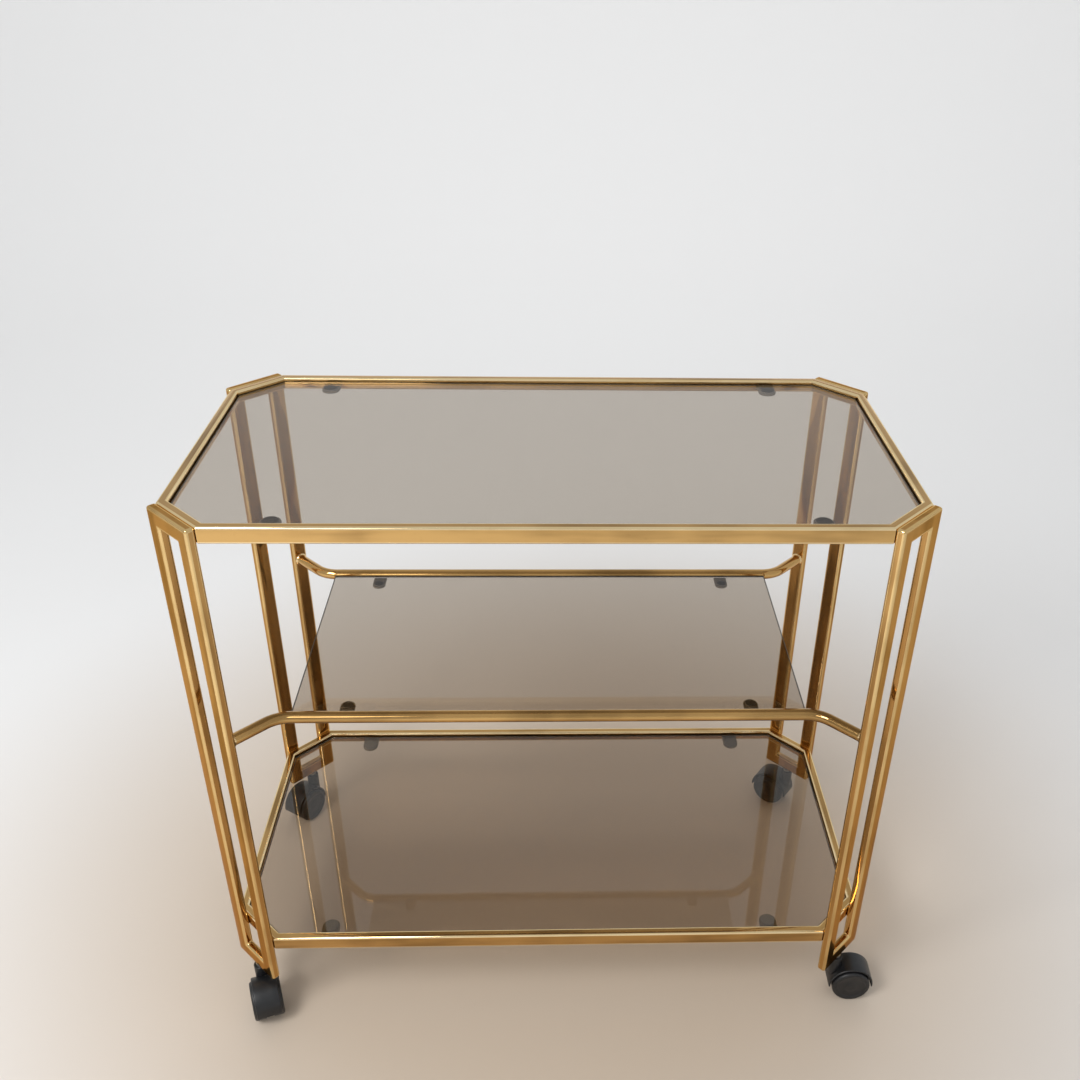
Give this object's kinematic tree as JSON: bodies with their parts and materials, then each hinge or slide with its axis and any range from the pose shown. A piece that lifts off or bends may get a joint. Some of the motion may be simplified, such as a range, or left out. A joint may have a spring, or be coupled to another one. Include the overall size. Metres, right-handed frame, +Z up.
{
  "type": "dessert trolley",
  "caption": "Octagonal serving trolley with smoked glass panes in a brass tube frame, looped tube legs, a middle shelf between bent rails and twin-wheel swivel casters.",
  "frame": {"origin": "on the floor, under the middle of the frames, which is the bottom centre of the box within 6 mm", "axes": "+X along the length, towards the right end; -Y towards the viewer's long side; +Z up"},
  "size_m": [0.8461, 0.462, 0.722],
  "materials": {
    "brass": "polished brass plating on welded steel tube",
    "smoked_glass": "smoked bronze-grey float glass with ground edges",
    "pad": "dark grey rubber pad",
    "steel": "bright zinc-plated steel",
    "caster_plastic": "black moulded nylon, semi-gloss"
  },
  "bodies": {
    "frame": {"top_frame": "brass", "top_tabs": "brass", "top_pads": "pad", "top_glass": "smoked_glass", "bottom_frame": "brass", "bottom_tabs": "brass", "bottom_pads": "pad", "bottom_glass": "smoked_glass", "mid_rail_front": "brass", "mid_rail_rear": "brass", "mid_tabs": "brass", "mid_pads": "pad", "mid_glass": "smoked_glass", "caster_sockets": "steel", "leg_front_left": "brass", "caster_stem_front_left": "steel", "leg_front_right": "brass", "caster_stem_front_right": "steel", "leg_rear_left": "brass", "caster_stem_rear_left": "steel", "leg_rear_right": "brass", "caster_stem_rear_right": "steel"},
    "swivel_front_left": {"caster_hood_front_left": "caster_plastic", "caster_axle_front_left": "steel"},
    "left_spin_front_left": {"wheel_left_front_left": "caster_plastic"},
    "right_spin_front_left": {"wheel_right_front_left": "caster_plastic"},
    "swivel_front_right": {"caster_hood_front_right": "caster_plastic", "caster_axle_front_right": "steel"},
    "left_spin_front_right": {"wheel_left_front_right": "caster_plastic"},
    "right_spin_front_right": {"wheel_right_front_right": "caster_plastic"},
    "swivel_rear_left": {"caster_hood_rear_left": "caster_plastic", "caster_axle_rear_left": "steel"},
    "left_spin_rear_left": {"wheel_left_rear_left": "caster_plastic"},
    "right_spin_rear_left": {"wheel_right_rear_left": "caster_plastic"},
    "swivel_rear_right": {"caster_hood_rear_right": "caster_plastic", "caster_axle_rear_right": "steel"},
    "left_spin_rear_right": {"wheel_left_rear_right": "caster_plastic"},
    "right_spin_rear_right": {"wheel_right_rear_right": "caster_plastic"}
  },
  "joints": [
    {"name": "caster_swivel_front_left", "type": "hinge", "parent": "frame", "child": "swivel_front_left", "pos_m": [-0.37689, -0.18289, 0.07], "axis": [0, 0, 1], "continuous": true},
    {"name": "wheel_left_roll_front_left", "type": "hinge", "parent": "swivel_front_left", "child": "left_spin_front_left", "pos_m": [-0.36936, -0.20356, 0.025], "axis": [0.9397, 0.342, 0], "continuous": true},
    {"name": "wheel_right_roll_front_left", "type": "hinge", "parent": "swivel_front_left", "child": "right_spin_front_left", "pos_m": [-0.36936, -0.20356, 0.025], "axis": [0.9397, 0.342, 0], "continuous": true},
    {"name": "caster_swivel_front_right", "type": "hinge", "parent": "frame", "child": "swivel_front_right", "pos_m": [0.37689, -0.18289, 0.07], "axis": [0, 0, 1], "continuous": true},
    {"name": "wheel_left_roll_front_right", "type": "hinge", "parent": "swivel_front_right", "child": "left_spin_front_right", "pos_m": [0.39889, -0.18327, 0.025], "axis": [0.0175, 0.9998, 0], "continuous": true},
    {"name": "wheel_right_roll_front_right", "type": "hinge", "parent": "swivel_front_right", "child": "right_spin_front_right", "pos_m": [0.39889, -0.18327, 0.025], "axis": [0.0175, 0.9998, 0], "continuous": true},
    {"name": "caster_swivel_rear_left", "type": "hinge", "parent": "frame", "child": "swivel_rear_left", "pos_m": [-0.37689, 0.18289, 0.07], "axis": [0, 0, 1], "continuous": true},
    {"name": "wheel_left_roll_rear_left", "type": "hinge", "parent": "swivel_rear_left", "child": "left_spin_rear_left", "pos_m": [-0.38887, 0.16444, 0.025], "axis": [0.8387, -0.5446, 0], "continuous": true},
    {"name": "wheel_right_roll_rear_left", "type": "hinge", "parent": "swivel_rear_left", "child": "right_spin_rear_left", "pos_m": [-0.38887, 0.16444, 0.025], "axis": [0.8387, -0.5446, 0], "continuous": true},
    {"name": "caster_swivel_rear_right", "type": "hinge", "parent": "frame", "child": "swivel_rear_right", "pos_m": [0.37689, 0.18289, 0.07], "axis": [0, 0, 1], "continuous": true},
    {"name": "wheel_left_roll_rear_right", "type": "hinge", "parent": "swivel_rear_right", "child": "left_spin_rear_right", "pos_m": [0.35932, 0.19613, 0.025], "axis": [-0.6018, -0.7986, 0], "continuous": true},
    {"name": "wheel_right_roll_rear_right", "type": "hinge", "parent": "swivel_rear_right", "child": "right_spin_rear_right", "pos_m": [0.35932, 0.19613, 0.025], "axis": [-0.6018, -0.7986, 0], "continuous": true}
  ]
}
